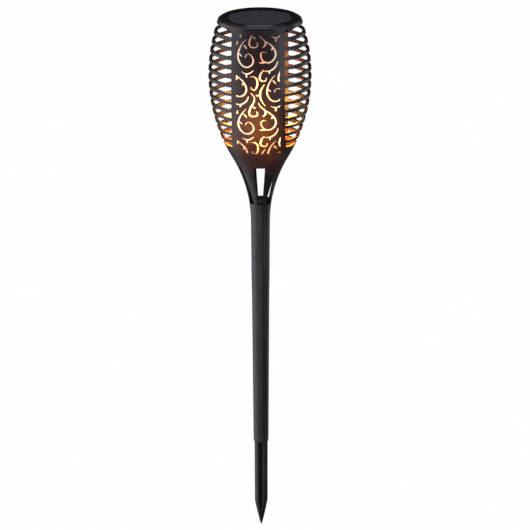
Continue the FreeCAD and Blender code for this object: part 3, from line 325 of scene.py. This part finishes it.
def brushed_metal(name, tone, roughness, stretch):
    """Metal with fine scratches along one direction and slightly uneven tarnish."""
    material, tree, shader = new_material(name)
    vector, _, _, _ = place(tree)
    drawn = add(tree, "ShaderNodeVectorMath", _0=vector, _1=stretch)
    drawn.operation = "MULTIPLY"
    lines = noise(tree, drawn.outputs[0], 900.0, 3.0, 0.6)
    tarnish = noise(tree, vector, 240.0, 3.0)
    dull = tuple(0.72 * part for part in tone)
    colour = mix_colours(tree, spread(tree, tarnish, 0.35, 0.75, 0.0, 1.0), tone, dull)
    tree.links.new(colour, shader.inputs["Base Color"])
    shader.inputs["Metallic"].default_value = 1.0
    rough = spread(tree, lines, 0.2, 0.8, roughness - 0.08, roughness + 0.1)
    tree.links.new(rough, shader.inputs["Roughness"])
    tree.links.new(bump(tree, lines, 0.000006), shader.inputs["Normal"])
    return material


finish("panel_board", panel_laminate())
finish("solar_cells", solar_silicon())
finish("cell_ribbons", brushed_metal("ribbon_silver", (0.40, 0.40, 0.46), 0.38, (1, 0.1, 1)))
screws = brushed_metal("screw_steel", (0.60, 0.60, 0.59), 0.32, (1, 1, 4))
finish("core_screws", screws)
finish("end_screws", screws)
finish("contact_plates", brushed_metal("contact_nickel", (0.66, 0.63, 0.56), 0.26, (1, 0.2, 1)))


# Flame unit


def flame_frost():
    """Frosted tube with the flame on it: bright low down, dying to a dull rose at the top."""
    material, tree, shader = new_material("diffuser_frosted")
    vector, _, _, up = place(tree)
    lick = add(tree, "ShaderNodeVectorMath", _0=vector, _1=(1, 1, 0.38))
    lick.operation = "MULTIPLY"
    tongues = noise(tree, lick.outputs[0], 62.0, 3.0, 0.55)
    flicker = noise(tree, lick.outputs[0], 190.0, 2.0)
    height = spread(tree, up, flame_low.z, flame_high.z, 0.0, 1.0)
    sway = math_node(tree, "MULTIPLY", math_node(tree, "SUBTRACT", tongues, 0.5), 0.30)
    reach = math_node(tree, "ADD", height, sway)
    warm = ramp(
        tree,
        reach,
        (
            (0.00, (1.00, 0.60, 0.26)),
            (0.12, (1.00, 0.86, 0.56)),
            (0.45, (1.00, 0.85, 0.54)),
            (0.65, (1.00, 0.84, 0.60)),
            (0.82, (1.00, 0.74, 0.56)),
            (0.95, (0.70, 0.28, 0.16)),
        ),
    )
    strength = ramp(
        tree,
        reach,
        (
            (0.00, (0.55,) * 3),
            (0.10, (1.00,) * 3),
            (0.42, (0.85,) * 3),
            (0.62, (0.62,) * 3),
            (0.80, (0.42,) * 3),
            (0.95, (0.11,) * 3),
        ),
    )
    shimmer = spread(tree, flicker, 0.3, 0.7, 0.85, 1.15)
    level = math_node(tree, "MULTIPLY", math_node(tree, "MULTIPLY", strength, shimmer), 1.25)
    glow = mix_colours(tree, 1.0, warm, level, "MULTIPLY")
    tree.links.new(glow, shader.inputs["Emission Color"])
    shader.inputs["Emission Strength"].default_value = 1.0
    frost = noise(tree, vector, 1400.0, 2.0)
    tone = mix_colours(tree, frost, (0.66, 0.62, 0.56), (0.74, 0.70, 0.64))
    tree.links.new(tone, shader.inputs["Base Color"])
    shader.inputs["Roughness"].default_value = 0.55
    tree.links.new(bump(tree, frost, 0.00003), shader.inputs["Normal"])
    return material


def printed_board(name, mask, light):
    """Solder mask with faint copper tracks showing through."""
    material, tree, shader = new_material(name)
    vector, _, _, _ = place(tree)
    cells = add(tree, "ShaderNodeTexVoronoi", Vector=vector, Scale=330.0)
    cells.distance = "MANHATTAN"
    cells.feature = "F2"
    tracks = spread(tree, cells.outputs["Distance"], 0.62, 0.66, 0.0, 0.5)
    tone = mix_colours(tree, tracks, mask, light)
    tree.links.new(tone, shader.inputs["Base Color"])
    tree.links.new(bump(tree, tracks, 0.00002), shader.inputs["Normal"])
    shader.inputs["Roughness"].default_value = 0.32
    shader.inputs["Coat Weight"].default_value = 0.4
    return material


def led_phosphor():
    """Amber phosphor with a fine grain, lit."""
    material, tree, shader = new_material("led_amber")
    vector, _, _, _ = place(tree)
    grain = noise(tree, vector, 2500.0, 2.0)
    tone = mix_colours(tree, grain, (0.78, 0.42, 0.06), (0.86, 0.56, 0.14))
    tree.links.new(tone, shader.inputs["Base Color"])
    tree.links.new(tone, shader.inputs["Emission Color"])
    shader.inputs["Emission Strength"].default_value = 1.6
    shader.inputs["Roughness"].default_value = 0.35
    return material


def chip_epoxy():
    """Moulded black packages with a fine matt grain."""
    base, light = (0.012, 0.012, 0.013), (0.020, 0.020, 0.021)
    return moulded("chip_black", base, light, 0.5, 0.00001, 4200.0, 0.1)


def wire_pvc():
    """Insulation: each pair has a red lead and a black one, told apart by its side of the unit."""
    material, tree, shader = new_material("wire_red_black")
    vector, across, _, _ = place(tree)
    streak = noise(tree, vector, 500.0, 2.0)
    red = mix_colours(tree, streak, (0.33, 0.012, 0.010), (0.42, 0.022, 0.018))
    black = mix_colours(tree, streak, (0.012, 0.012, 0.012), (0.022, 0.022, 0.022))
    side = math_node(tree, "GREATER_THAN", across, 0.0)
    tree.links.new(mix_colours(tree, side, red, black), shader.inputs["Base Color"])
    tree.links.new(spread(tree, streak, 0.3, 0.7, 0.34, 0.46), shader.inputs["Roughness"])
    return material


def cell_wrap():
    """Shrink wrap over the cell: plain blue with a white band, and a bare nickel end."""
    material, tree, shader = new_material("cell_wrap")
    low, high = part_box("battery_cell")
    vector, _, _, up = place(tree)
    share = spread(tree, up, low.z, high.z, 0.0, 1.0)
    wrap = ramp(
        tree,
        share,
        (
            (0.00, (0.55, 0.53, 0.48)),
            (0.015, (0.015, 0.075, 0.30)),
            (0.72, (0.70, 0.70, 0.68)),
            (0.80, (0.015, 0.075, 0.30)),
            (0.965, (0.55, 0.53, 0.48)),
        ),
        "CONSTANT",
    )
    film = noise(tree, vector, 130.0, 3.0)
    dull = mix_colours(tree, 1.0, wrap, (0.8, 0.8, 0.8), "MULTIPLY")
    tree.links.new(mix_colours(tree, film, wrap, dull), shader.inputs["Base Color"])
    tree.links.new(spread(tree, film, 0.3, 0.7, 0.24, 0.36), shader.inputs["Roughness"])
    tree.links.new(bump(tree, film, 0.00005), shader.inputs["Normal"])
    return material


finish("light_diffuser", flame_frost())
finish("led_flex", printed_board("flex_white", (0.68, 0.66, 0.60), (0.76, 0.70, 0.55)))
finish("control_board", printed_board("board_green", (0.006, 0.075, 0.022), (0.02, 0.14, 0.05)))
finish("led_chips", led_phosphor())
finish("board_chips", chip_epoxy())
finish("battery_cell", cell_wrap())
leads = wire_pvc()
for wires in ("panel_leads", "battery_leads", "switch_leads"):
    finish(wires, leads)


def flame_lights():
    """Warm lights round the tube, which ride with it and light the inside of the shade."""
    radius = 0.5 * (flame_high.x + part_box("torch_shade")[1].x) * 0.82
    levels = (
        (0.12, 0.055, (1.0, 0.22, 0.03)),
        (0.34, 0.085, (1.0, 0.42, 0.05)),
        (0.56, 0.035, (1.0, 0.24, 0.03)),
        (0.76, 0.006, (1.0, 0.10, 0.03)),
    )
    for share, power, colour in levels:
        height = flame_low.z + share * (flame_high.z - flame_low.z)
        for step in range(4):
            angle = math.radians(90 * step)
            data = bpy.data.lights.new("flame_light", "POINT")
            data.energy = power
            data.color = colour
            data.shadow_soft_size = 0.006
            light = bpy.data.objects.new("flame_light", data)
            scene.collection.objects.link(light)
            light.location = (radius * math.cos(angle), radius * math.sin(angle), height)
            light.parent = frame["bodies"]["lamp"]
            light.visible_camera = False


flame_lights()


# Studio


def studio_floor():
    """A pale floor, lit almost evenly."""
    bpy.ops.mesh.primitive_circle_add(vertices=96, radius=FLOOR_RADIUS, fill_type="NGON")
    floor = bpy.context.object
    floor.name = "floor"
    floor.location.z = cad_low.z - 0.0005
    material, tree, shader = new_material("floor_pale")
    vector, _, _, _ = place(tree)
    tone = mix_colours(tree, noise(tree, vector, 8.0), (1.0, 1.0, 1.0), (0.99, 0.99, 0.99))
    lit = add(tree, "ShaderNodeEmission", Color=tone, Strength=1.0)
    tree.links.new(lit.outputs[0], tree.nodes["Material Output"].inputs["Surface"])
    tree.nodes.remove(shader)
    floor.visible_glossy = floor.visible_diffuse = floor.visible_shadow = False
    floor.data.materials.append(material)


def area_light(name, azimuth, elevation, distance, width, height, power, aim, colour=(1, 1, 1)):
    """A softbox that faces a point; azimuth 0 is the front and 90 the right."""
    data = bpy.data.lights.new(name, "AREA")
    data.shape = "RECTANGLE"
    data.size, data.size_y = width, height
    data.energy = power
    data.color = colour
    light = bpy.data.objects.new(name, data)
    scene.collection.objects.link(light)
    turn, rise = math.radians(azimuth), math.radians(elevation)
    back = Vector(
        (math.sin(turn) * math.cos(rise), -math.cos(turn) * math.cos(rise), math.sin(rise))
    )
    light.visible_camera = False
    light.location = aim + back * distance
    light.rotation_euler = back.to_track_quat("Z", "Y").to_euler()


def studio_sky():
    """White where the camera looks past the floor, and a dim even fill for everything else."""
    world = bpy.data.worlds.new("studio")
    scene.world = world
    world.use_nodes = True
    tree = world.node_tree
    background = tree.nodes["Background"]
    seen = tree.nodes.new("ShaderNodeLightPath").outputs["Is Camera Ray"]
    tree.links.new(spread(tree, seen, 0.0, 1.0, 0.022, 1.0), background.inputs["Strength"])
    background.inputs["Color"].default_value = (1, 1, 1, 1)


studio_floor()
studio_sky()
area_light("key_left", -86, 0, 1.0, 1.7, 1.8, 15.0, middle, (0.97, 0.95, 1.0))
head_aim = middle + Vector((0, 0, 0.10))
bowl_aim = middle + Vector((0, 0, 0.17))
area_light("fill_right", 60, 6, 1.0, 0.55, 0.62, 3.0, head_aim, (1.0, 0.96, 1.0))
area_light("rim_back", 125, 4, 1.2, 0.4, 1.4, 2.5, middle)
area_light("front_low", -8, -26, 1.0, 0.9, 0.30, 1.3, bowl_aim, (1.0, 0.93, 0.98))
area_light("top", 0, 80, 1.2, 1.0, 1.0, 9.0, Vector((0, 0, cad_high.z)), (0.95, 0.95, 1.0))
scene.view_settings.view_transform = "Standard"
